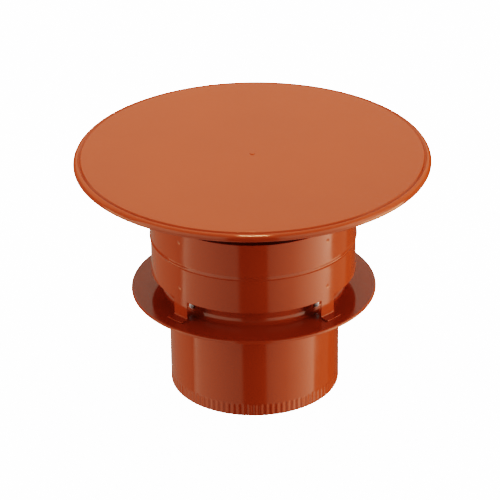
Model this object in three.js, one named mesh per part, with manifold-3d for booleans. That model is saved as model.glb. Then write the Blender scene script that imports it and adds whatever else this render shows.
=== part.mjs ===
// Chimney cowl of painted sheet steel: a crimped spigot, a collared flange, a drum on four feet,
// and a flat cap with a rolled rim, carried by four straps inside the drum.
// Sizes are in millimetres. +Z is up, -Y is the front, and the spigot stands on Z = 0.
import * as THREE from 'three';
import Module from 'manifold-3d';
import { mergeVertices } from 'three/addons/utils/BufferGeometryUtils.js';

// Sheet and fits
const SHEET = 0.8;
const FIT_GAP = 0.3;

// Spigot: outside radius, and its crimped lower end
const SPIGOT_RADIUS = 75;
const SPIGOT_HEIGHT = 120;
const CRIMP_HEIGHT = 12.5;
const CRIMP_FADE = 3;
const FLUTE_COUNT = 96;
const FLUTE_DEPTH = 0.4;

// Flange: top face height, outside radius, collar and turned-down lip
const FLANGE_TOP = 93;
const FLANGE_RADIUS = 108;
const FLANGE_LIP_DROP = 2.6;
const FLANGE_LIP_RADIUS = 1.6;
const COLLAR_HEIGHT = 12;
const COLLAR_FILLET = 5.5;

// Drum: outside radius, edges and swage bead
const DRUM_RADIUS = 90;
const DRUM_BOTTOM = 110.3;
const DRUM_TOP = 175.5;
const BEAD_MIDDLE = 143.2;
const BEAD_HALF_HEIGHT = 2.4;
const BEAD_DEPTH = 1;

// Feet: tabs of the drum wall, bent outwards onto the flange
const FOOT_LENGTH = 8;
const FOOT_BEND_RADIUS = 1.2;

// Cap: top face, creased groove, rolled rim and raised centre pip
const CAP_TOP = 218.5;
const CAP_RADIUS = 155;
const CREASE_RADIUS = 148.2;
const CREASE_WIDTH = 2.8;
const CREASE_DEPTH = 1.2;
const RIM_STEP = 0.5;
const RIM_DROP = 6.6;
const RIM_HEM = 3;
const CENTRE_PIP_RADIUS = 2.3;
const CENTRE_PIP_HEIGHT = 0.6;

// Straps: fixed inside the drum, with the upper end bent in under the cap
const STRAP_THICKNESS = 1.2;
const STRAP_WIDTH = 16;
const STRAP_BOTTOM = 114;
const STRAP_FOOT = 22;
const STRAP_BEND_RADIUS = 2;

// Rivets: through the collar and the spigot wall
const RIVET_HEIGHT = 99.5;
const RIVET_HEAD_RADIUS = 2.6;
const RIVET_HEAD_DOME = 1.3;
const RIVET_SHANK_RADIUS = 1.6;
const RIVET_TAIL_RADIUS = 2.3;
const RIVET_TAIL_LENGTH = 1.4;
const DRILL_LENGTH = 8 * SHEET;

// Facets around each piece
const CAP_SEGMENTS = 64;
const FLANGE_SEGMENTS = 64;
const DRUM_SEGMENTS = 72;
const SPIGOT_SEGMENTS = 64;
const FINE_PER_COARSE = (2 * FLUTE_COUNT) / SPIGOT_SEGMENTS;
const RIVET_SEGMENTS = 8;
const FOOT_SEGMENTS = 2;

// Steps along the round stretches of each profile
const FILLET_STEPS = 3;
const LIP_STEPS = 2;
const BEAD_STEPS = 4;
const BEND_STEPS = 3;
const RIM_STEPS = 3;
const HEM_STEPS = 2;
const DOME_STEPS = 3;

// Directions from the centre of an arc in a profile
const RIGHT = 0;
const UP = Math.PI / 2;
const DOWN = -Math.PI / 2;
const LEFT = -Math.PI;

// The four corners where feet, straps and rivets sit, measured from +X towards +Y
const CORNERS = [
  { name: 'front_right', azimuth: -Math.PI / 4 },
  { name: 'back_right', azimuth: Math.PI / 4 },
  { name: 'back_left', azimuth: (3 * Math.PI) / 4 },
  { name: 'front_left', azimuth: (-3 * Math.PI) / 4 },
];

const PAINT_COLOUR = 0xb5592f;
const PAINT_ROUGHNESS = 0.25;
const RIVET_COLOUR = 0xc9cbce;
const RIVET_ROUGHNESS = 0.35;

const wasm = await Module();
wasm.setup();

function paint() {
  return new THREE.MeshStandardMaterial({ color: PAINT_COLOUR, roughness: PAINT_ROUGHNESS, metalness: 0 });
}

function bareMetal() {
  return new THREE.MeshStandardMaterial({ color: RIVET_COLOUR, roughness: RIVET_ROUGHNESS, metalness: 1 });
}

// A profile point: radius from the axis and height
function at(radius, height) {
  return new THREE.Vector2(radius, height);
}

// Points of an elliptical arc in a profile, turning clockwise where it falls outwards
function arc(centre, radiusX, radiusZ, from, to, steps) {
  const clockwise = to < from;
  const curve = new THREE.EllipseCurve(centre.x, centre.y, radiusX, radiusZ, from, to, clockwise);
  return curve.getPoints(steps);
}

function leftNormal(from, to) {
  const along = to.clone().sub(from).normalize();
  return at(-along.y, along.x);
}

// The back face of a sheet: the profile moved by the thickness to its right, with mitred corners
function backOf(profile, thickness) {
  return profile.map((point, index) => {
    const before = profile[Math.max(index - 1, 0)];
    const after = profile[Math.min(index + 1, profile.length - 1)];
    const first = before === point ? leftNormal(point, after) : leftNormal(before, point);
    const second = after === point ? first : leftNormal(point, after);
    const mitre = first.clone().add(second).normalize();
    const reach = thickness / mitre.dot(first);
    const back = point.clone().addScaledVector(mitre, -reach);
    if (point.x === 0) {
      back.x = 0;
    }
    return back;
  });
}

// A sheet of metal: matching points on its front and back, closed along every free edge
class Sheet {
  constructor() {
    this.front = [];
    this.back = [];
    this.triangles = [];
  }

  point(front, back) {
    this.front.push(front);
    this.back.push(back);
    return this.front.length - 1;
  }

  triangle(a, b, c) {
    if (a !== b && b !== c && c !== a) {
      this.triangles.push([a, b, c]);
    }
  }

  quad(a, b, c, d) {
    this.triangle(a, b, c);
    this.triangle(a, c, d);
  }

  // Rows of points along a profile, one column per place around or across the piece
  addGrid(profile, thickness, columns, place) {
    const back = backOf(profile, thickness);
    return profile.map((point, row) => {
      if (point.x === 0) {
        const pole = this.point(place(point, columns[0]), place(back[row], columns[0]));
        return columns.map(() => pole);
      }
      return columns.map((column) => this.point(place(point, column), place(back[row], column)));
    });
  }

  joinRows(upper, lower) {
    for (let column = 0; column + 1 < upper.length; column += 1) {
      this.quad(upper[column], lower[column], lower[column + 1], upper[column + 1]);
    }
  }

  joinGrid(grid) {
    for (let row = 0; row + 1 < grid.length; row += 1) {
      this.joinRows(grid[row], grid[row + 1]);
    }
  }

  freeEdges() {
    const edges = new Map();
    for (const corners of this.triangles) {
      corners.forEach((from, index) => {
        const to = corners[(index + 1) % corners.length];
        const reverse = `${to}_${from}`;
        if (edges.has(reverse)) {
          edges.delete(reverse);
        } else {
          edges.set(`${from}_${to}`, [from, to]);
        }
      });
    }
    return [...edges.values()];
  }

  geometry() {
    const count = this.front.length;
    const indices = [];
    for (const [a, b, c] of this.triangles) {
      indices.push(a, b, c);
      indices.push(count + a, count + c, count + b);
    }
    for (const [from, to] of this.freeEdges()) {
      indices.push(to, from, count + from);
      indices.push(to, count + from, count + to);
    }
    const positions = [...this.front, ...this.back].flatMap((point) => point.toArray());
    const geometry = new THREE.BufferGeometry();
    geometry.setAttribute('position', new THREE.Float32BufferAttribute(positions, 3));
    geometry.setIndex(indices);
    return geometry;
  }
}

function aroundAxis(point, azimuth) {
  return new THREE.Vector3(point.x * Math.cos(azimuth), point.x * Math.sin(azimuth), point.y);
}

function azimuths(segments) {
  return Array.from({ length: segments }, (_, index) => (2 * Math.PI * index) / segments);
}

function closeRing(row) {
  return [...row, row[0]];
}

// A sheet turned all the way round the axis
function turnedSheet(profile, segments) {
  const sheet = new Sheet();
  const grid = sheet.addGrid(profile, SHEET, azimuths(segments), aroundAxis).map(closeRing);
  sheet.joinGrid(grid);
  return sheet;
}

function toManifold(geometry) {
  const plain = geometry.clone();
  plain.deleteAttribute('normal');
  plain.deleteAttribute('uv');
  const merged = mergeVertices(plain);
  const mesh = new wasm.Mesh({
    numProp: 3,
    vertProperties: new Float32Array(merged.attributes.position.array),
    triVerts: new Uint32Array(merged.index.array),
  });
  return new wasm.Manifold(mesh);
}

function fromManifold(manifold) {
  const mesh = manifold.getMesh();
  const geometry = new THREE.BufferGeometry();
  geometry.setAttribute('position', new THREE.Float32BufferAttribute(mesh.vertProperties, 3));
  geometry.setIndex([...mesh.triVerts]);
  return geometry;
}

// The same four rivet holes through the collar and the spigot wall
function withRivetHoles(geometry) {
  const holeRadius = RIVET_SHANK_RADIUS + FIT_GAP;
  let pierced = toManifold(geometry);
  for (const corner of CORNERS) {
    const drill = new THREE.CylinderGeometry(holeRadius, holeRadius, DRILL_LENGTH, RIVET_SEGMENTS);
    drill.rotateZ(-Math.PI / 2);
    drill.translate(SPIGOT_RADIUS, 0, RIVET_HEIGHT);
    drill.rotateZ(corner.azimuth);
    pierced = pierced.subtract(toManifold(drill));
  }
  return fromManifold(pierced);
}

// Spigot: a plain tube whose lower end is crimped into fine upright flutes, pressed in from the outside
function spigotGeometry() {
  const sheet = new Sheet();
  const plainProfile = [at(SPIGOT_RADIUS, SPIGOT_HEIGHT), at(SPIGOT_RADIUS, CRIMP_HEIGHT)];
  const plain = sheet.addGrid(plainProfile, SHEET, azimuths(SPIGOT_SEGMENTS), aroundAxis).map(closeRing);
  sheet.joinGrid(plain);

  const crimpRadius = SPIGOT_RADIUS - FLUTE_DEPTH / 2;
  const crimpProfile = [at(crimpRadius, CRIMP_HEIGHT - CRIMP_FADE), at(crimpRadius, 0)];
  const fineColumns = azimuths(2 * FLUTE_COUNT).map((azimuth, index) => ({
    azimuth,
    ripple: index % 2 === 0 ? FLUTE_DEPTH / 2 : -FLUTE_DEPTH / 2,
  }));
  const fluted = (point, column) => aroundAxis(at(point.x + column.ripple, point.y), column.azimuth);
  const crimp = sheet.addGrid(crimpProfile, SHEET, fineColumns, fluted).map(closeRing);
  sheet.joinGrid(crimp);

  const edge = plain[plain.length - 1];
  const flutes = crimp[0];
  for (let coarse = 0; coarse < SPIGOT_SEGMENTS; coarse += 1) {
    const fine = coarse * FINE_PER_COARSE;
    sheet.triangle(edge[coarse], flutes[fine], flutes[fine + 1]);
    sheet.triangle(edge[coarse], flutes[fine + 1], edge[coarse + 1]);
    for (let step = 1; step < FINE_PER_COARSE; step += 1) {
      sheet.triangle(flutes[fine + step], flutes[fine + step + 1], edge[coarse + 1]);
    }
  }
  return withRivetHoles(sheet.geometry());
}

// Flange: a ring with an upright collar round the spigot and a rounded lip at its outer edge
function flangeGeometry() {
  const collarRadius = SPIGOT_RADIUS + FIT_GAP + SHEET;
  const filletCentre = at(collarRadius + COLLAR_FILLET, FLANGE_TOP + COLLAR_FILLET);
  const lipCentre = at(FLANGE_RADIUS - FLANGE_LIP_RADIUS, FLANGE_TOP - FLANGE_LIP_RADIUS);
  const profile = [
    at(collarRadius, FLANGE_TOP + COLLAR_HEIGHT),
    ...arc(filletCentre, COLLAR_FILLET, COLLAR_FILLET, LEFT, DOWN, FILLET_STEPS),
    ...arc(lipCentre, FLANGE_LIP_RADIUS, FLANGE_LIP_RADIUS, UP, RIGHT, LIP_STEPS),
    at(FLANGE_RADIUS, FLANGE_TOP - FLANGE_LIP_DROP),
  ];
  return withRivetHoles(turnedSheet(profile, FLANGE_SEGMENTS).geometry());
}

// The swage bead as a smooth wave in the drum wall, from its top to its bottom
function beadProfile() {
  return Array.from({ length: BEAD_STEPS + 1 }, (_, step) => {
    const share = (2 * step) / BEAD_STEPS - 1;
    const swell = (BEAD_DEPTH / 2) * (1 + Math.cos(Math.PI * share));
    return at(DRUM_RADIUS + swell, BEAD_MIDDLE - share * BEAD_HALF_HEIGHT);
  });
}

// Drum: an open band with a swage bead round its middle and four tabs bent out as feet
function drumGeometry() {
  const sheet = new Sheet();
  const wall = [
    at(DRUM_RADIUS, DRUM_TOP),
    ...beadProfile(),
    at(DRUM_RADIUS, DRUM_BOTTOM),
  ];
  const columns = azimuths(DRUM_SEGMENTS);
  const band = sheet.addGrid(wall, SHEET, columns, aroundAxis).map(closeRing);
  sheet.joinGrid(band);

  const footTop = FLANGE_TOP + FIT_GAP + SHEET;
  const bendCentre = at(DRUM_RADIUS + FOOT_BEND_RADIUS, footTop + FOOT_BEND_RADIUS);
  const tab = [
    ...arc(bendCentre, FOOT_BEND_RADIUS, FOOT_BEND_RADIUS, LEFT, DOWN, BEND_STEPS),
    at(DRUM_RADIUS + FOOT_LENGTH, footTop),
  ];
  const lowerEdge = band[band.length - 1];
  for (const corner of CORNERS) {
    const middle = Math.round((corner.azimuth / (2 * Math.PI)) * DRUM_SEGMENTS) + DRUM_SEGMENTS;
    const first = (middle - FOOT_SEGMENTS / 2) % DRUM_SEGMENTS;
    const footColumns = columns.slice(first, first + FOOT_SEGMENTS + 1);
    const foot = sheet.addGrid(tab, SHEET, footColumns, aroundAxis);
    sheet.joinRows(lowerEdge.slice(first, first + FOOT_SEGMENTS + 1), foot[0]);
    sheet.joinGrid(foot);
  }
  return sheet.geometry();
}

// Cap: a flat disc with a raised centre pip and a groove, inside a rim that rolls down and under
function capGeometry() {
  const rimStart = at(CREASE_RADIUS + CREASE_WIDTH, CAP_TOP - RIM_STEP);
  const hemRadius = RIM_HEM / 2;
  const rimFall = RIM_DROP - RIM_STEP - hemRadius;
  const rimCentre = at(rimStart.x, rimStart.y - rimFall);
  const rimWidth = CAP_RADIUS - rimStart.x;
  const hemCentre = at(CAP_RADIUS - hemRadius, rimCentre.y);
  const profile = [
    at(0, CAP_TOP + CENTRE_PIP_HEIGHT),
    at(CENTRE_PIP_RADIUS, CAP_TOP),
    at(CREASE_RADIUS, CAP_TOP),
    at(CREASE_RADIUS + CREASE_WIDTH / 2, CAP_TOP - RIM_STEP / 2 - CREASE_DEPTH),
    ...arc(rimCentre, rimWidth, rimFall, UP, RIGHT, RIM_STEPS),
    ...arc(hemCentre, hemRadius, hemRadius, RIGHT, DOWN, HEM_STEPS).slice(1),
  ];
  return turnedSheet(profile, CAP_SEGMENTS).geometry();
}

// Strap: an upright strip against the drum wall, its upper end bent in under the cap
function strapGeometry() {
  const drumInside = DRUM_RADIUS - SHEET - FIT_GAP;
  const outside = Math.sqrt(drumInside ** 2 - (STRAP_WIDTH / 2) ** 2) - FIT_GAP;
  const inside = outside - STRAP_THICKNESS;
  const underside = CAP_TOP - SHEET - FIT_GAP - STRAP_THICKNESS;
  const bendCentre = at(inside - STRAP_BEND_RADIUS, underside - STRAP_BEND_RADIUS);
  const profile = [
    at(inside, STRAP_BOTTOM),
    ...arc(bendCentre, STRAP_BEND_RADIUS, STRAP_BEND_RADIUS, RIGHT, UP, BEND_STEPS),
    at(outside - STRAP_FOOT, underside),
  ];
  const acrossStrap = (point, sideways) => new THREE.Vector3(point.x, sideways, point.y);
  const sheet = new Sheet();
  const edges = [-STRAP_WIDTH / 2, STRAP_WIDTH / 2];
  sheet.joinGrid(sheet.addGrid(profile, STRAP_THICKNESS, edges, acrossStrap));
  return sheet.geometry();
}

// Rivet: a domed head outside the collar, a shank through both sheets and a tail inside the spigot
function rivetGeometry() {
  const headSeat = SPIGOT_RADIUS + SHEET + 3 * FIT_GAP;
  const tailSeat = SPIGOT_RADIUS - SHEET - FIT_GAP;
  const dome = arc(at(0, headSeat), RIVET_HEAD_RADIUS, RIVET_HEAD_DOME, RIGHT, UP, DOME_STEPS);
  dome[dome.length - 1].x = 0;
  const profile = [
    at(0, tailSeat - RIVET_TAIL_LENGTH),
    at(RIVET_TAIL_RADIUS, tailSeat - RIVET_TAIL_LENGTH),
    at(RIVET_TAIL_RADIUS, tailSeat),
    at(RIVET_SHANK_RADIUS, tailSeat),
    at(RIVET_SHANK_RADIUS, headSeat),
    ...dome,
  ];
  return new THREE.LatheGeometry(profile, RIVET_SEGMENTS);
}

function piece(name, geometry, material) {
  const mesh = new THREE.Mesh(geometry, material);
  mesh.name = name;
  return mesh;
}

// One corner: a strap and a rivet, both facing out along +X before the corner is turned into place
function cornerGroup(corner) {
  const strap = piece(`strap_${corner.name}`, strapGeometry(), paint());
  const rivet = piece(`rivet_${corner.name}`, rivetGeometry(), bareMetal());
  rivet.rotation.z = -Math.PI / 2;
  rivet.position.z = RIVET_HEIGHT;
  const group = new THREE.Group();
  group.rotation.z = corner.azimuth;
  group.add(strap, rivet);
  return group;
}

const cowl = new THREE.Group();
cowl.add(piece('spigot', spigotGeometry(), paint()));
cowl.add(piece('flange', flangeGeometry(), paint()));
cowl.add(piece('drum', drumGeometry(), paint()));
cowl.add(piece('cap', capGeometry(), paint()));
cowl.add(...CORNERS.map(cornerGroup));

export default cowl;
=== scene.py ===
"""Looks of a chimney cowl in terracotta gloss paint: thin sheet metal, rivets, floor, light and camera."""
import math

import bmesh
import bpy
from mathutils import Matrix, Vector


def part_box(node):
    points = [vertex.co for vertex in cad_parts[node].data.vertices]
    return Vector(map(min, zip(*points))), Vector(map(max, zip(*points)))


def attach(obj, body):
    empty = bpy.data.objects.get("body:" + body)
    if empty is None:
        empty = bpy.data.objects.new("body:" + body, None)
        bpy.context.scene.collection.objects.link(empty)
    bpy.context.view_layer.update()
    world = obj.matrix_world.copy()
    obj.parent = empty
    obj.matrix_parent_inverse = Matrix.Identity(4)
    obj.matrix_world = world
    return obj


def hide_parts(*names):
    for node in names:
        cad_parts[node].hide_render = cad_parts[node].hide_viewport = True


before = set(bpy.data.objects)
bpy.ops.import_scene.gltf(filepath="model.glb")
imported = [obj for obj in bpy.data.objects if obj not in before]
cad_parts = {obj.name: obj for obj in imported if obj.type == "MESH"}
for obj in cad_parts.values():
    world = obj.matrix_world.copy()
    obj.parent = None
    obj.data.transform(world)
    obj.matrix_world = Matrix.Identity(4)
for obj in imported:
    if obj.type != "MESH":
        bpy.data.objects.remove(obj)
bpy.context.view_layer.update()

MM = 0.001
BODY = "root"

# Sheet, fits and the soft rounding that paint gives to cut edges
SHEET = 0.8 * MM
FIT_GAP = 0.3 * MM
EDGE_ROUNDING = 0.22 * MM
EDGE_STEPS = 3
EDGE_ANGLE = math.radians(50)

# Spigot, with a crimped lower end
SPIGOT_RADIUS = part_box("spigot")[1].x
SPIGOT_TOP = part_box("spigot")[1].z
CRIMP_HEIGHT = 12.5 * MM
CRIMP_FADE = 3 * MM
FLUTE_COUNT = 96
FLUTE_DEPTH = 0.4 * MM
COLUMNS_PER_FLUTE = 8
PLAIN_TUBE_ROWS = 10
CRIMP_FADE_ROWS = 8
CRIMP_ROWS = 6

# Flange, with a collar round the spigot and a turned-down lip
FLANGE_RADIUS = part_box("flange")[1].x
LIP_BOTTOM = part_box("flange")[0].z
LIP_DROP = 2.6 * MM
LIP_RADIUS = 1.6 * MM
LIP_STEPS = 8
FLANGE_TOP = LIP_BOTTOM + LIP_DROP
FLANGE_ROWS = 5
COLLAR_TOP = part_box("flange")[1].z
COLLAR_RADIUS = SPIGOT_RADIUS + FIT_GAP + SHEET
COLLAR_FILLET = 5.5 * MM
FILLET_STEPS = 14

# Drum, with a swage bead, feet bent outwards and pressed fixing marks
BEAD_DEPTH = 1 * MM
BEAD_HALF_HEIGHT = 2.4 * MM
BEAD_MIDDLE = 143.2 * MM
BEAD_ROWS = 20
DRUM_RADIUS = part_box("drum")[1].x - BEAD_DEPTH
DRUM_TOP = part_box("drum")[1].z
DRUM_BOTTOM = 110.3 * MM
FOOT_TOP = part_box("drum")[0].z + SHEET
FOOT_LENGTH = 8 * MM
FOOT_BEND_RADIUS = 1.2 * MM
FOOT_BEND_STEPS = 8
FOOT_HALF_ANGLE = math.radians(5)
TAB_ROWS = 4
FOOT_ROWS = 3
UPPER_MARK = 166 * MM
LOWER_MARK = 122 * MM
MARK_RADIUS = 1.8 * MM
MARK_DEPTH = 0.35 * MM
MARK_ROWS = 12
EDGE_TO_MARK_ROWS = 3
MARK_TO_BEAD_ROWS = 4

# Cap, with a raised centre pip, a groove and a rolled rim
CENTRE_PIP_RADIUS = 2.3 * MM
CENTRE_PIP_HEIGHT = 0.6 * MM
CENTRE_PIP_FLAT = 0.72
CENTRE_PIP_ROWS = 20
CAP_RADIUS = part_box("cap")[1].x
CAP_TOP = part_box("cap")[1].z - CENTRE_PIP_HEIGHT
CAP_ROWS = 12
RIM_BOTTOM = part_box("cap")[0].z
RIM_HEM = 3 * MM
RIM_STEPS = 18
HEM_STEPS = 8
CREASE_RADIUS = 148.2 * MM
CREASE_WIDTH = 2.8 * MM
CREASE_DEPTH = 1.2 * MM
RIM_STEP = 0.5 * MM
# Rows across the groove, close together at its bottom and its edges
GROOVE_ROWS = (0, 0.04, 0.25, 0.46, 0.5, 0.54, 0.75, 0.96)

# Straps inside the drum, which carry the cap
STRAP_THICKNESS = 1.2 * MM
STRAP_WIDTH = 16 * MM
STRAP_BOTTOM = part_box("strap_front_right")[0].z
STRAP_FOOT = 22 * MM
STRAP_BEND_RADIUS = 2 * MM
STRAP_BEND_STEPS = 8

# Blind rivets through the collar and the spigot
RIVET_HEIGHT = 99.5 * MM
RIVET_HEAD_RADIUS = 2.6 * MM
RIVET_HEAD_DOME = 1.3 * MM
RIVET_HEAD_EDGE = 0.25 * MM
RIVET_SHANK_RADIUS = 1.6 * MM
RIVET_TAIL_RADIUS = 2.3 * MM
RIVET_TAIL_LENGTH = 1.4 * MM
RIVET_COLUMNS = 40
RIVET_DOME_STEPS = 24

# Columns round the turned pieces
TURNED_COLUMNS = 288
FOOT_COLUMNS = 40
BETWEEN_FEET_COLUMNS = 64

# The four corners where feet, straps and rivets sit, measured from +X towards +Y
QUARTER_TURN = math.pi / 2
CORNERS = {
    "front_right": -QUARTER_TURN / 2,
    "back_right": QUARTER_TURN / 2,
    "back_left": 1.5 * QUARTER_TURN,
    "front_left": -1.5 * QUARTER_TURN,
}

# Directions from the centre of an arc in a profile
RIGHT = 0
UP = math.pi / 2
DOWN = -math.pi / 2
LEFT = -math.pi

# Values that most of a noise lies between
NOISE_LOW = 0.3
NOISE_HIGH = 0.7

# Gloss paint: two close tones in clouds and grain, uneven gloss and orange peel, with scales per metre
PAINT_DARKER = (0.242, 0.0363, 0.0073, 1)
PAINT_LIGHTER = (0.268, 0.0402, 0.0081, 1)
PAINT_IOR = 1.5
CLOUD_SCALE = 9
CLOUD_DETAIL = 3
CLOUD_SHARE = 0.7
GRAIN_SCALE = 1400
GRAIN_DETAIL = 2
GRAIN_SHARE = 0.3
GLOSS_SCALE = 35
GLOSS_DETAIL = 4
GLOSS_ROUGHNESS = (0.07, 0.13)
PEEL_SCALE = 420
PEEL_DETAIL = 1
PEEL_STRENGTH = 0.01
PEEL_DEPTH = 0.4 * MM

# Rivet metal: dull aluminium with fine scuffs
RIVET_DARKER = (0.62, 0.62, 0.63, 1)
RIVET_LIGHTER = (0.88, 0.88, 0.87, 1)
RIVET_ROUGHNESS = (0.45, 0.6)
RIVET_METALLIC = 0.55
SCUFF_SCALE = 900
SCUFF_DETAIL = 5
SCUFF_HARSHNESS = 0.7
SCUFF_STRENGTH = 0.15
SCUFF_DEPTH = 0.1 * MM

# Floor and background, bright enough to be plain white in the picture
WHITE = (1, 1, 1, 1)
WHITE_LEVEL = 9
FLOOR_HALF_SIZE = 20
FLOOR_TINT = (0.88, 0.92)
FLOOR_TINT_SCALE = 3
FLOOR_TINT_DETAIL = 2
FLOOR_ROUGHNESS = 0.9

# Brightness of the studio below the horizon, as upright walls mirror it: degrees from the front, level
LOW_STUDIO = (
    # Dim room, from the back round to the left
    (-180, 0.2), (-157, 0.25), (-130, 0.3), (-105, 0.36), (-85.5, 0.36),
    # Left card, brightest along its back edge
    (-83.5, 2), (-79, 1.2), (-72, 0.88), (-50, 0.76), (-18, 0.58),
    # Dark gap where the camera stands
    (-15, 0.02), (14, 0.02),
    # Right card, brighter towards its back edge
    (17, 0.56), (45, 0.9), (70, 1.95), (95, 3.2),
    # Dim room, from the right round to the back
    (98, 0.4), (115, 0.3), (126, 0.3), (129, 0.04), (160, 0.06), (180, 0.2),
)
LOW_STUDIO_PEAK = max(level for degrees, level in LOW_STUDIO)

# The cards lean outwards at the sides: turn for each step of elevation, where it is level, and its reach
CARD_LEAN = 4
CARD_LEAN_LEVEL = math.radians(-27.5)
CARD_LEAN_REACH = math.radians(2)
LEAN_START = math.radians(30)
LEAN_END = math.radians(60)
# Dimming of the cards at their feet: degrees to its middle, its full reach, the end of its reach, level
CARD_FEET = ((90, 30, 70, 0.58), (-91.5, 1.5, 5.5, 0.55))

# Upper ends of the cards, which show only in reflections: gain in front and at the sides
UPPER_START = math.radians(-12)
UPPER_END = math.radians(0)
UPPER_FRONT_GAIN = 1.7
UPPER_SIDE_GAIN = 0.25
UPPER_FRONT_EDGE = math.radians(60)
UPPER_SIDE_EDGE = math.radians(100)

# Windows at both sides, which show only in reflections: degrees to the middle, level
WINDOWS = ((86, 5), (-84, 2.8))
WINDOW_LIGHT = (1, 0.7, 0.47, 1)
# Degrees to either side of a window's middle where it is still full, and where it ends
WINDOW_FULL_REACH = 15
WINDOW_END_REACH = 21
# Elevations between which the sill and the head fade in and out
WINDOW_SILL = (math.radians(-24), math.radians(-20))
WINDOW_HEAD = (math.radians(-1), math.radians(5))

# Ceiling over the cards and pale backdrop behind the cowl
CARD_TOP_START = math.radians(32)
CARD_TOP_END = math.radians(48)
CEILING_LEVEL = 0.25
BACKDROP_LEVEL = 0.64
BACKDROP_START = math.radians(80)
BACKDROP_END = math.radians(120)
BACKDROP_FOOT_LOW = math.radians(8)
BACKDROP_FOOT_HIGH = math.radians(20)
WARM_LIGHT = (1, 0.94, 0.78, 1)

# A small lamp that shows only as a highlight along the rim: place, size, watts
RIM_LAMP = ((0, -0.25, 1.45), (0.22, 0.16), 8)
RIM_LAMP_COLOUR = (1, 0.65, 0.42)
# Soft lights that the paint doesn't mirror: place, size, watts
SOFTBOXES = {
    "overhead_softbox": ((0, 0.1, 1), (0.8, 0.5), 9.7),
    "right_softbox": ((1.5, -0.2, 0.22), (0.9, 0.6), 30.5),
    "left_softbox": ((-1.5, -0.1, 0.22), (0.9, 0.6), 21),
    "back_softbox": ((0, 1.5, 0.6), (1.2, 0.8), 12),
}

# Camera at the photograph's viewing angle
IMAGE_WIDTH = 500
FOCAL_PIXELS = 2967
CAMERA_DISTANCE = 2606.6 * MM
CAMERA_TARGET = Vector((-2.97 * MM, 0, 124.8 * MM))
CAMERA_ELEVATION = math.radians(27.51)
CAMERA_ROLL = math.radians(-0.728)


# Profiles

def at(radius, height):
    """A profile point: radius from the axis and height."""
    return Vector((radius, height))


def run(start, end, steps):
    """Values from start towards end in equal steps, without the last one."""
    return [start + (end - start) * step / steps for step in range(steps)]


def arc(centre, radius_across, radius_up, start, end, steps):
    """Points of an elliptical arc in a profile, both ends included."""
    angles = run(start, end, steps) + [end]
    return [centre + at(radius_across * math.cos(a), radius_up * math.sin(a)) for a in angles]


def left_normal(start, end):
    along = (end - start).normalized()
    return at(-along.y, along.x)


def back_of(profile, thickness):
    """The back face of a sheet: the profile moved to its right, with mitred corners."""
    back = []
    for index, point in enumerate(profile):
        before = profile[max(index - 1, 0)]
        after = profile[min(index + 1, len(profile) - 1)]
        second = left_normal(point, after) if index + 1 < len(profile) else left_normal(before, point)
        first = left_normal(before, point) if index > 0 else second
        mitre = (first + second).normalized()
        moved = point - mitre * (thickness / mitre.dot(first))
        back.append(at(0, moved.y) if point.x == 0 else moved)
    return back


def around_axis(point, azimuth):
    return Vector((point.x * math.cos(azimuth), point.x * math.sin(azimuth), point.y))


def smooth_bump(distance):
    """One at the middle, falling smoothly to nothing at a distance of one."""
    return max(0, 1 - distance**2) ** 2


def smooth_rise(share):
    """Rises smoothly from nothing to one as share goes from nothing to one."""
    clamped = min(max(share, 0), 1)
    return clamped**2 * (3 - 2 * clamped)


# Sheets and pieces

class Sheet:
    """A sheet of metal: matching points on its front and back, closed along every free edge."""

    def __init__(self):
        self.front = []
        self.back = []
        self.faces = []

    def point(self, front, back):
        self.front.append(front)
        self.back.append(back)
        return len(self.front) - 1

    def add_grid(self, profile, thickness, columns, place):
        """Rows of points along a profile, one column for each place around or across the piece."""
        grid = []
        for front, back in zip(profile, back_of(profile, thickness)):
            if front.x == 0:
                pole = self.point(place(front, columns[0]), place(back, columns[0]))
                grid.append([pole] * len(columns))
            else:
                grid.append([self.point(place(front, c), place(back, c)) for c in columns])
        return grid

    def join_rows(self, upper, lower):
        for column in range(len(upper) - 1):
            corners = (upper[column], lower[column], lower[column + 1], upper[column + 1])
            self.faces.append(tuple(dict.fromkeys(corners)))

    def join_grid(self, grid):
        for upper, lower in zip(grid, grid[1:]):
            self.join_rows(upper, lower)

    def free_edges(self):
        edges = {}
        for corners in self.faces:
            for start, end in zip(corners, corners[1:] + corners[:1]):
                if (end, start) in edges:
                    del edges[(end, start)]
                else:
                    edges[(start, end)] = True
        return edges

    def to_mesh(self, name):
        count = len(self.front)
        backs = [tuple(count + corner for corner in reversed(corners)) for corners in self.faces]
        rims = [(end, start, count + start, count + end) for start, end in self.free_edges()]
        mesh = bpy.data.meshes.new(name)
        mesh.from_pydata(self.front + self.back, [], self.faces + backs + rims)
        return mesh


def turned_columns(count):
    return [2 * math.pi * column / count for column in range(count)]


def close_ring(grid):
    return [row + row[:1] for row in grid]


def turned_sheet(profile, columns, place=around_axis):
    """A sheet that goes all the way round the axis."""
    sheet = Sheet()
    sheet.join_grid(close_ring(sheet.add_grid(profile, SHEET, columns, place)))
    return sheet


def add_piece(name, mesh, node, material):
    """Puts a mesh in the scene in place of a CAD node."""
    for polygon in mesh.polygons:
        polygon.use_smooth = True
    piece = bpy.data.objects.new(name, mesh)
    bpy.context.scene.collection.objects.link(piece)
    mesh.materials.append(material)
    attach(piece, BODY)
    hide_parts(node)
    return piece


def round_edges(piece):
    """Rounds the cut edges of a sheet and keeps its broad faces flat to the light."""
    bevel = piece.modifiers.new("rounded_edges", "BEVEL")
    bevel.width = EDGE_ROUNDING
    bevel.segments = EDGE_STEPS
    bevel.limit_method = "ANGLE"
    bevel.angle_limit = EDGE_ANGLE
    piece.modifiers.new("even_normals", "WEIGHTED_NORMAL")


def add_painted(node, sheet):
    piece = add_piece(f"painted_{node}", sheet.to_mesh(node), node, PAINT)
    round_edges(piece)


# Shader nodes

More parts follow.
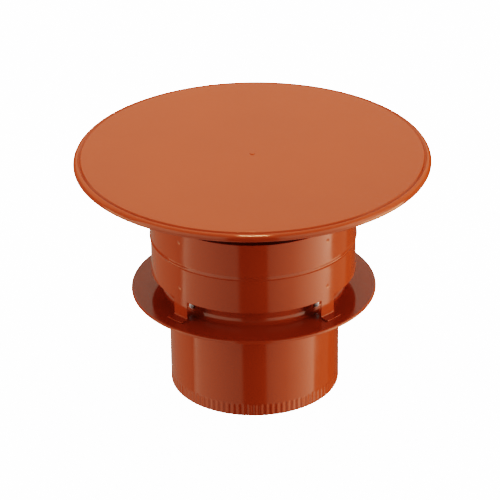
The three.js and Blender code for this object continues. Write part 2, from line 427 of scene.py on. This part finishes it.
def add_node(tree, kind, inputs=None, **settings):
    """A shader node with its settings, and inputs that are either values or sockets to link."""
    made = tree.nodes.new(kind)
    for name, value in settings.items():
        setattr(made, name, value)
    for key, value in (inputs or {}).items():
        if isinstance(value, bpy.types.NodeSocket):
            tree.links.new(value, made.inputs[key])
        else:
            made.inputs[key].default_value = value
    return made


def add_math(tree, operation, *values):
    return add_node(tree, "ShaderNodeMath", dict(enumerate(values)), operation=operation).outputs[0]


def add_mix(tree, share, first, second, kind="FLOAT"):
    """The first value where share is nothing, the second where it is one."""
    inputs = {"Factor": share, "A": first, "B": second}
    return add_node(tree, "ShaderNodeMix", inputs, data_type=kind).outputs["Result"]


def add_range(tree, value, low, high, to_low, to_high, smooth=False):
    kind = "SMOOTHSTEP" if smooth else "LINEAR"
    inputs = {"Value": value, "From Min": low, "From Max": high, "To Min": to_low, "To Max": to_high}
    return add_node(tree, "ShaderNodeMapRange", inputs, interpolation_type=kind).outputs["Result"]


def add_noise(tree, scale, detail, roughness=0.5):
    place = add_node(tree, "ShaderNodeTexCoord")
    inputs = {"Vector": place.outputs["Object"], "Scale": scale, "Detail": detail, "Roughness": roughness}
    return add_node(tree, "ShaderNodeTexNoise", inputs).outputs["Fac"]


def add_spread(tree, noise, low, high):
    """A noise, spread so that most of it fills the range from low to high."""
    return add_range(tree, noise, NOISE_LOW, NOISE_HIGH, low, high)


def add_bump(tree, height, strength, depth):
    inputs = {"Height": height, "Strength": strength, "Distance": depth}
    return add_node(tree, "ShaderNodeBump", inputs).outputs["Normal"]


def add_surface(tree, inputs):
    """A surface shader with these inputs, joined to the material's output."""
    shader = add_node(tree, "ShaderNodeBsdfPrincipled", inputs)
    add_node(tree, "ShaderNodeOutputMaterial", {"Surface": shader.outputs["BSDF"]})


def new_material(name):
    material = bpy.data.materials.new(name)
    material.use_nodes = True
    tree = material.node_tree
    tree.nodes.clear()
    return material, tree


# Materials

def gloss_paint():
    """Terracotta gloss paint: a faint cloudiness in the colour, uneven gloss and a fine orange peel."""
    material, tree = new_material("terracotta_gloss_paint")
    clouds = add_spread(tree, add_noise(tree, CLOUD_SCALE, CLOUD_DETAIL), 0, CLOUD_SHARE)
    grain = add_spread(tree, add_noise(tree, GRAIN_SCALE, GRAIN_DETAIL), 0, GRAIN_SHARE)
    tone = add_math(tree, "ADD", clouds, grain)
    gloss = add_noise(tree, GLOSS_SCALE, GLOSS_DETAIL)
    peel = add_noise(tree, PEEL_SCALE, PEEL_DETAIL)
    add_surface(tree, {
        "Base Color": add_mix(tree, tone, PAINT_DARKER, PAINT_LIGHTER, "RGBA"),
        "Roughness": add_spread(tree, gloss, *GLOSS_ROUGHNESS),
        "Normal": add_bump(tree, peel, PEEL_STRENGTH, PEEL_DEPTH),
        "IOR": PAINT_IOR,
    })
    return material


def bare_aluminium():
    """Bare rivet metal: dull, with fine scuffs."""
    material, tree = new_material("bare_rivet_aluminium")
    scuffs = add_noise(tree, SCUFF_SCALE, SCUFF_DETAIL, SCUFF_HARSHNESS)
    add_surface(tree, {
        "Base Color": add_mix(tree, scuffs, RIVET_DARKER, RIVET_LIGHTER, "RGBA"),
        "Roughness": add_spread(tree, scuffs, *RIVET_ROUGHNESS),
        "Normal": add_bump(tree, scuffs, SCUFF_STRENGTH, SCUFF_DEPTH),
        "Metallic": RIVET_METALLIC,
    })
    return material


def floor_white():
    """Plain white floor, bright enough that only a faint contact shadow shows."""
    material, tree = new_material("white_floor")
    tint = add_spread(tree, add_noise(tree, FLOOR_TINT_SCALE, FLOOR_TINT_DETAIL), *FLOOR_TINT)
    colour = add_node(tree, "ShaderNodeCombineColor", {"Red": tint, "Green": tint, "Blue": tint})
    add_surface(tree, {
        "Base Color": colour.outputs["Color"],
        "Roughness": FLOOR_ROUGHNESS,
        "Specular IOR Level": 0,
        "Emission Color": WHITE,
        "Emission Strength": WHITE_LEVEL,
    })
    return material


PAINT = gloss_paint()
RIVET_METAL = bare_aluminium()


# Spigot

def crimp_share(height):
    """Nothing on the plain tube, one on the fully crimped end."""
    return smooth_rise((CRIMP_HEIGHT - height) / CRIMP_FADE)


def fluted(point, azimuth):
    """A point of the tube, pressed in by a ripple where it is crimped."""
    ripple = FLUTE_DEPTH / 2 * (1 - math.cos(FLUTE_COUNT * azimuth))
    return around_axis(at(point.x - crimp_share(point.y) * ripple, point.y), azimuth)


def make_spigot():
    fade_end = CRIMP_HEIGHT - CRIMP_FADE
    heights = run(SPIGOT_TOP, CRIMP_HEIGHT, PLAIN_TUBE_ROWS)
    heights += run(CRIMP_HEIGHT, fade_end, CRIMP_FADE_ROWS)
    heights += run(fade_end, 0, CRIMP_ROWS) + [0]
    profile = [at(SPIGOT_RADIUS, height) for height in heights]
    columns = turned_columns(FLUTE_COUNT * COLUMNS_PER_FLUTE)
    add_painted("spigot", turned_sheet(profile, columns, fluted))


# Flange

def make_flange():
    fillet_centre = at(COLLAR_RADIUS + COLLAR_FILLET, FLANGE_TOP + COLLAR_FILLET)
    lip_centre = at(FLANGE_RADIUS - LIP_RADIUS, FLANGE_TOP - LIP_RADIUS)
    fillet = arc(fillet_centre, COLLAR_FILLET, COLLAR_FILLET, LEFT, DOWN, FILLET_STEPS)
    flat = [at(radius, FLANGE_TOP) for radius in run(fillet_centre.x, lip_centre.x, FLANGE_ROWS)]
    lip = arc(lip_centre, LIP_RADIUS, LIP_RADIUS, UP, RIGHT, LIP_STEPS)
    profile = [at(COLLAR_RADIUS, COLLAR_TOP)] + fillet + flat[1:] + lip + [at(FLANGE_RADIUS, LIP_BOTTOM)]
    add_painted("flange", turned_sheet(profile, turned_columns(TURNED_COLUMNS)))


# Drum

def nearest_corner(azimuth):
    """How far round an azimuth is from the nearest corner."""
    turned = (azimuth - CORNERS["front_right"]) % QUARTER_TURN
    return min(turned, QUARTER_TURN - turned)


def marked(point, azimuth):
    """A point of the drum wall, pressed in where there is a fixing mark."""
    across = DRUM_RADIUS * nearest_corner(azimuth)
    marks = (UPPER_MARK, LOWER_MARK)
    dent = sum(smooth_bump(math.hypot(across, point.y - height) / MARK_RADIUS) for height in marks)
    return around_axis(at(point.x - MARK_DEPTH * dent, point.y), azimuth)


def bead_swell(height):
    """How far the swage bead stands out, as a smooth wave."""
    return BEAD_DEPTH / 2 * (1 + math.cos(math.pi * (height - BEAD_MIDDLE) / BEAD_HALF_HEIGHT))


def drum_wall():
    """The wall's profile, with close rows at the fixing marks and the bead."""
    bead_top = BEAD_MIDDLE + BEAD_HALF_HEIGHT
    bead_bottom = BEAD_MIDDLE - BEAD_HALF_HEIGHT
    above = run(DRUM_TOP, UPPER_MARK + MARK_RADIUS, EDGE_TO_MARK_ROWS)
    above += run(UPPER_MARK + MARK_RADIUS, UPPER_MARK - MARK_RADIUS, MARK_ROWS)
    above += run(UPPER_MARK - MARK_RADIUS, bead_top, MARK_TO_BEAD_ROWS)
    bead = [at(DRUM_RADIUS + bead_swell(h), h) for h in run(bead_top, bead_bottom, BEAD_ROWS)]
    below = run(bead_bottom, LOWER_MARK + MARK_RADIUS, MARK_TO_BEAD_ROWS)
    below += run(LOWER_MARK + MARK_RADIUS, LOWER_MARK - MARK_RADIUS, MARK_ROWS)
    below += run(LOWER_MARK - MARK_RADIUS, DRUM_BOTTOM, EDGE_TO_MARK_ROWS) + [DRUM_BOTTOM]
    return [at(DRUM_RADIUS, h) for h in above] + bead + [at(DRUM_RADIUS, h) for h in below]


def drum_columns():
    """Azimuths round the drum, from one foot to the next, close together at each foot."""
    columns = []
    for corner in CORNERS.values():
        foot_start = corner - FOOT_HALF_ANGLE
        foot_end = corner + FOOT_HALF_ANGLE
        columns += run(foot_start, foot_end, FOOT_COLUMNS)
        columns += run(foot_end, foot_start + QUARTER_TURN, BETWEEN_FEET_COLUMNS)
    return columns


def foot_profile():
    """A tab of the wall, from just under the drum's lower edge down and out along the flange."""
    bend_centre = at(DRUM_RADIUS + FOOT_BEND_RADIUS, FOOT_TOP + FOOT_BEND_RADIUS)
    foot_end = DRUM_RADIUS + FOOT_LENGTH
    tab = [at(DRUM_RADIUS, h) for h in run(DRUM_BOTTOM, bend_centre.y, TAB_ROWS)[1:]]
    bend = arc(bend_centre, FOOT_BEND_RADIUS, FOOT_BEND_RADIUS, LEFT, DOWN, FOOT_BEND_STEPS)
    foot = [at(radius, FOOT_TOP) for radius in run(bend_centre.x, foot_end, FOOT_ROWS)[1:]]
    return tab + bend + foot + [at(foot_end, FOOT_TOP)]


def make_drum():
    sheet = Sheet()
    columns = drum_columns()
    band = close_ring(sheet.add_grid(drum_wall(), SHEET, columns, marked))
    sheet.join_grid(band)
    lower_edge = band[-1]
    for first in range(0, len(columns), FOOT_COLUMNS + BETWEEN_FEET_COLUMNS):
        last = first + FOOT_COLUMNS + 1
        foot = sheet.add_grid(foot_profile(), SHEET, columns[first:last], around_axis)
        sheet.join_rows(lower_edge[first:last], foot[0])
        sheet.join_grid(foot)
    add_painted("drum", sheet)


# Cap

def pip_height(radius):
    """How far the centre pip stands up, level in its middle and falling to the flat top."""
    fall = (radius / CENTRE_PIP_RADIUS - CENTRE_PIP_FLAT) / (1 - CENTRE_PIP_FLAT)
    return CENTRE_PIP_HEIGHT * (1 - smooth_rise(fall))


def groove_height(share):
    """Height across the groove, from the flat top at nothing to the rim at one."""
    return CAP_TOP - RIM_STEP * share - CREASE_DEPTH * (1 - abs(2 * share - 1))


def rim_profile():
    """The rolled rim, from the groove's outer edge round and under to its hem."""
    hem_radius = RIM_HEM / 2
    rim_start = at(CREASE_RADIUS + CREASE_WIDTH, CAP_TOP - RIM_STEP)
    rim_end = RIM_BOTTOM + hem_radius
    rim_centre = at(rim_start.x, rim_end)
    rim = arc(rim_centre, CAP_RADIUS - rim_start.x, rim_start.y - rim_end, UP, RIGHT, RIM_STEPS)
    hem = arc(at(CAP_RADIUS - hem_radius, rim_end), hem_radius, hem_radius, RIGHT, DOWN, HEM_STEPS)
    return rim + hem[1:]


def make_cap():
    pip_radii = run(0, CENTRE_PIP_RADIUS, CENTRE_PIP_ROWS)
    pip = [at(radius, CAP_TOP + pip_height(radius)) for radius in pip_radii]
    flat = [at(radius, CAP_TOP) for radius in run(CENTRE_PIP_RADIUS, CREASE_RADIUS, CAP_ROWS)]
    groove = [at(CREASE_RADIUS + share * CREASE_WIDTH, groove_height(share)) for share in GROOVE_ROWS]
    profile = pip + flat + groove + rim_profile()
    add_painted("cap", turned_sheet(profile, turned_columns(TURNED_COLUMNS)))


# Straps

def strap_profile():
    """The inner face of a strap, up the inside of the drum and bent in under the cap."""
    drum_inside = DRUM_RADIUS - SHEET - FIT_GAP
    outside = math.sqrt(drum_inside**2 - (STRAP_WIDTH / 2) ** 2) - FIT_GAP
    inside = outside - STRAP_THICKNESS
    underside = CAP_TOP - SHEET - FIT_GAP - STRAP_THICKNESS
    bend_centre = at(inside - STRAP_BEND_RADIUS, underside - STRAP_BEND_RADIUS)
    bend = arc(bend_centre, STRAP_BEND_RADIUS, STRAP_BEND_RADIUS, RIGHT, UP, STRAP_BEND_STEPS)
    return [at(inside, STRAP_BOTTOM)] + bend + [at(outside - STRAP_FOOT, underside)]


def make_strap(corner, azimuth):
    turn = Matrix.Rotation(azimuth, 3, "Z")

    def across_strap(point, side):
        return turn @ Vector((point.x, side, point.y))

    sheet = Sheet()
    edges = [-STRAP_WIDTH / 2, STRAP_WIDTH / 2]
    sheet.join_grid(sheet.add_grid(strap_profile(), STRAP_THICKNESS, edges, across_strap))
    add_painted(f"strap_{corner}", sheet)


# Rivets

def rivet_profile():
    """Radius and distance out from the axis of the cowl, from the top of the head to the tail."""
    head_seat = COLLAR_RADIUS + 2 * FIT_GAP
    dome_base = head_seat + RIVET_HEAD_EDGE
    dome_height = RIVET_HEAD_DOME - RIVET_HEAD_EDGE
    tail_seat = SPIGOT_RADIUS - SHEET - FIT_GAP
    tail_end = tail_seat - RIVET_TAIL_LENGTH
    dome = arc(at(0, dome_base), RIVET_HEAD_RADIUS, dome_height, UP, RIGHT, RIVET_DOME_STEPS)
    head = [at(0, dome_base + dome_height)] + dome[1:] + [at(RIVET_HEAD_RADIUS, head_seat)]
    shank = [at(RIVET_SHANK_RADIUS, head_seat), at(RIVET_SHANK_RADIUS, tail_seat)]
    tail = [at(RIVET_TAIL_RADIUS, tail_seat), at(RIVET_TAIL_RADIUS, tail_end), at(0, tail_end)]
    return head + shank + tail


def turned_solid(name, profile, place):
    """A mesh turned from a profile that starts and ends on its axis."""
    build = bmesh.new()
    rings = []
    for point in profile:
        count = RIVET_COLUMNS if point.x > 0 else 1
        rings.append([build.verts.new(place(point, angle)) for angle in turned_columns(count)])
    for upper, lower in zip(rings, rings[1:]):
        for column in range(RIVET_COLUMNS):
            following = (column + 1) % RIVET_COLUMNS
            corners = [
                upper[column % len(upper)],
                lower[column % len(lower)],
                lower[following % len(lower)],
                upper[following % len(upper)],
            ]
            build.faces.new(dict.fromkeys(corners))
    bmesh.ops.recalc_face_normals(build, faces=build.faces)
    mesh = bpy.data.meshes.new(name)
    build.to_mesh(mesh)
    build.free()
    return mesh


def make_rivet(corner, azimuth):
    """A blind rivet, turned about an axis that points straight out from the cowl."""
    outwards = around_axis(at(1, 0), azimuth)
    sideways = around_axis(at(1, 0), azimuth + QUARTER_TURN)
    upwards = Vector((0, 0, 1))
    middle = upwards * RIVET_HEIGHT

    def about_rivet(point, angle):
        across = sideways * math.cos(angle) + upwards * math.sin(angle)
        return middle + outwards * point.y + across * point.x

    mesh = turned_solid(f"rivet_{corner}", rivet_profile(), about_rivet)
    add_piece(f"bare_rivet_{corner}", mesh, f"rivet_{corner}", RIVET_METAL)
    mesh.set_sharp_from_angle(angle=EDGE_ANGLE)


# Floor

def make_floor():
    half = FLOOR_HALF_SIZE
    mesh = bpy.data.meshes.new("floor")
    corners = [(-half, -half, 0), (half, -half, 0), (half, half, 0), (-half, half, 0)]
    mesh.from_pydata(corners, [], [(0, 1, 2, 3)])
    mesh.materials.append(floor_white())
    floor = bpy.data.objects.new("floor", mesh)
    bpy.context.scene.collection.objects.link(floor)
    floor.visible_diffuse = False
    floor.visible_glossy = False
    floor.visible_transmission = False


# Studio light by direction

class Direction:
    """Where a ray goes: azimuth from the front, the same without its side, and elevation."""

    def __init__(self, tree):
        place = add_node(tree, "ShaderNodeTexCoord")
        axes = add_node(tree, "ShaderNodeSeparateXYZ", {0: place.outputs["Generated"]})
        forwards = add_math(tree, "MULTIPLY", axes.outputs["Y"], -1)
        self.azimuth = add_math(tree, "ARCTAN2", axes.outputs["X"], forwards)
        self.aside = add_math(tree, "ABSOLUTE", self.azimuth)
        self.elevation = add_math(tree, "ARCSINE", axes.outputs["Z"])


def add_reach(tree, ray, middle, full, end, inside, outside):
    """One value round a middle azimuth and another away from it, smooth between two reaches in degrees."""
    off = add_math(tree, "ABSOLUTE", add_math(tree, "SUBTRACT", ray.azimuth, math.radians(middle)))
    return add_range(tree, off, math.radians(full), math.radians(end), inside, outside, smooth=True)


def add_studio_ramp(tree, azimuth):
    """The light below the horizon, all the way round. A new ramp already has a stop at each end."""
    ramp = add_node(tree, "ShaderNodeValToRGB", {"Fac": add_range(tree, azimuth, -math.pi, math.pi, 0, 1)})
    stops = ramp.color_ramp.elements
    for index, (degrees, level) in enumerate(LOW_STUDIO):
        place = 0.5 + degrees / 360
        stop = stops[index] if place in (0, 1) else stops.new(place)
        share = level / LOW_STUDIO_PEAK
        stop.color = (share, share, share, 1)
    return add_math(tree, "MULTIPLY", ramp.outputs["Color"], LOW_STUDIO_PEAK)


def add_cards(tree, ray):
    """The cards, which lean outwards at the sides and are dimmer at their feet."""
    lean_low = CARD_LEAN_LEVEL - CARD_LEAN_REACH
    lean_high = CARD_LEAN_LEVEL + CARD_LEAN_REACH
    lean_turn = CARD_LEAN * CARD_LEAN_REACH
    lean = add_range(tree, ray.elevation, lean_low, lean_high, lean_turn, -lean_turn)
    lean_share = add_range(tree, ray.aside, LEAN_START, LEAN_END, 0, 1, smooth=True)
    cards = add_studio_ramp(tree, add_math(tree, "MULTIPLY_ADD", lean, lean_share, ray.azimuth))
    foot = add_range(tree, ray.elevation, lean_low, CARD_LEAN_LEVEL, 1, 0)
    for middle, full, end, level in CARD_FEET:
        dimmed = add_reach(tree, ray, middle, full, end, level, 1)
        cards = add_math(tree, "MULTIPLY", cards, add_mix(tree, foot, 1, dimmed))
    return cards


def add_upper_ends(tree, ray, cards, mirrored):
    """The cards with their upper ends brighter in front and dimmer at the sides."""
    above = add_range(tree, ray.elevation, UPPER_START, UPPER_END, 0, 1, smooth=True)
    upper = add_math(tree, "MULTIPLY", above, mirrored)
    gain = add_range(tree, ray.aside, UPPER_FRONT_EDGE, UPPER_SIDE_EDGE, UPPER_FRONT_GAIN, UPPER_SIDE_GAIN)
    return add_math(tree, "MULTIPLY", cards, add_mix(tree, upper, 1, gain))


def add_windows(tree, ray, cards, mirrored):
    """The cards with the windows in front of them, and how much of each direction is window."""
    over_sill = add_range(tree, ray.elevation, *WINDOW_SILL, 0, 1, smooth=True)
    under_head = add_range(tree, ray.elevation, *WINDOW_HEAD, 1, 0, smooth=True)
    band = add_math(tree, "MULTIPLY", add_math(tree, "MULTIPLY", over_sill, under_head), mirrored)
    glass = 0
    for middle, level in WINDOWS:
        between_sides = add_reach(tree, ray, middle, WINDOW_FULL_REACH, WINDOW_END_REACH, 1, 0)
        window = add_math(tree, "MULTIPLY", band, between_sides)
        cards = add_mix(tree, window, cards, level)
        glass = add_math(tree, "ADD", glass, window)
    return cards, glass


def add_room(tree, ray, cards):
    """The cards with a ceiling over them and a pale backdrop behind the cowl."""
    over_cards = add_range(tree, ray.elevation, CARD_TOP_START, CARD_TOP_END, 0, 1, smooth=True)
    under_ceiling = add_mix(tree, over_cards, cards, CEILING_LEVEL)
    behind = add_range(tree, ray.aside, BACKDROP_START, BACKDROP_END, 0, 1, smooth=True)
    over_floor = add_range(tree, ray.elevation, BACKDROP_FOOT_LOW, BACKDROP_FOOT_HIGH, 0, 1, smooth=True)
    backdrop = add_math(tree, "MULTIPLY", behind, over_floor)
    return add_mix(tree, backdrop, under_ceiling, BACKDROP_LEVEL)


def make_world():
    """The studio that lights the cowl, with a plain white background for the camera."""
    world = bpy.data.worlds.new("studio")
    world.use_nodes = True
    tree = world.node_tree
    tree.nodes.clear()
    ray = Direction(tree)
    path = add_node(tree, "ShaderNodeLightPath")
    seen = path.outputs["Is Camera Ray"]
    mirrored = path.outputs["Is Glossy Ray"]
    cards = add_upper_ends(tree, ray, add_cards(tree, ray), mirrored)
    cards, glass = add_windows(tree, ray, cards, mirrored)
    warmth = add_mix(tree, glass, WARM_LIGHT, WINDOW_LIGHT, "RGBA")
    glow = add_node(tree, "ShaderNodeBackground", {
        "Color": add_mix(tree, seen, warmth, WHITE, "RGBA"),
        "Strength": add_mix(tree, seen, add_room(tree, ray, cards), WHITE_LEVEL),
    })
    add_node(tree, "ShaderNodeOutputWorld", {"Surface": glow.outputs["Background"]})
    world.cycles.sampling_method = "NONE"
    bpy.context.scene.world = world


# Lights

def add_area_light(name, place, size, watts):
    """A rectangular light aimed at the middle of the cowl."""
    lamp = bpy.data.lights.new(name, "AREA")
    lamp.shape = "RECTANGLE"
    lamp.size, lamp.size_y = size
    lamp.energy = watts
    light = bpy.data.objects.new(name, lamp)
    light.location = place
    aim = Vector((0, 0, CAP_TOP / 2)) - light.location
    light.rotation_euler = aim.to_track_quat("-Z", "Y").to_euler()
    bpy.context.scene.collection.objects.link(light)
    return light


def make_lights():
    rim_lamp = add_area_light("overhead_lamp", *RIM_LAMP)
    rim_lamp.data.color = RIM_LAMP_COLOUR
    rim_lamp.visible_diffuse = False
    for name, (place, size, watts) in SOFTBOXES.items():
        softbox = add_area_light(name, place, size, watts)
        softbox.visible_glossy = False


# Camera and picture

def make_camera():
    camera_data = bpy.data.cameras.new("camera")
    camera_data.lens = FOCAL_PIXELS * camera_data.sensor_width / IMAGE_WIDTH
    camera = bpy.data.objects.new("camera", camera_data)
    back = Vector((0, -math.cos(CAMERA_ELEVATION), math.sin(CAMERA_ELEVATION)))
    upright = Matrix.Rotation(QUARTER_TURN - CAMERA_ELEVATION, 4, "X")
    camera.matrix_world = (
        Matrix.Translation(CAMERA_TARGET + back * CAMERA_DISTANCE)
        @ upright
        @ Matrix.Rotation(CAMERA_ROLL, 4, "Z")
    )
    bpy.context.scene.collection.objects.link(camera)
    bpy.context.scene.camera = camera


def set_tones():
    settings = bpy.context.scene.view_settings
    settings.view_transform = "Filmic"
    settings.look = "High Contrast"


make_spigot()
make_flange()
make_drum()
make_cap()
for corner_name, corner_azimuth in CORNERS.items():
    make_strap(corner_name, corner_azimuth)
    make_rivet(corner_name, corner_azimuth)
make_floor()
make_world()
make_lights()
make_camera()
set_tones()
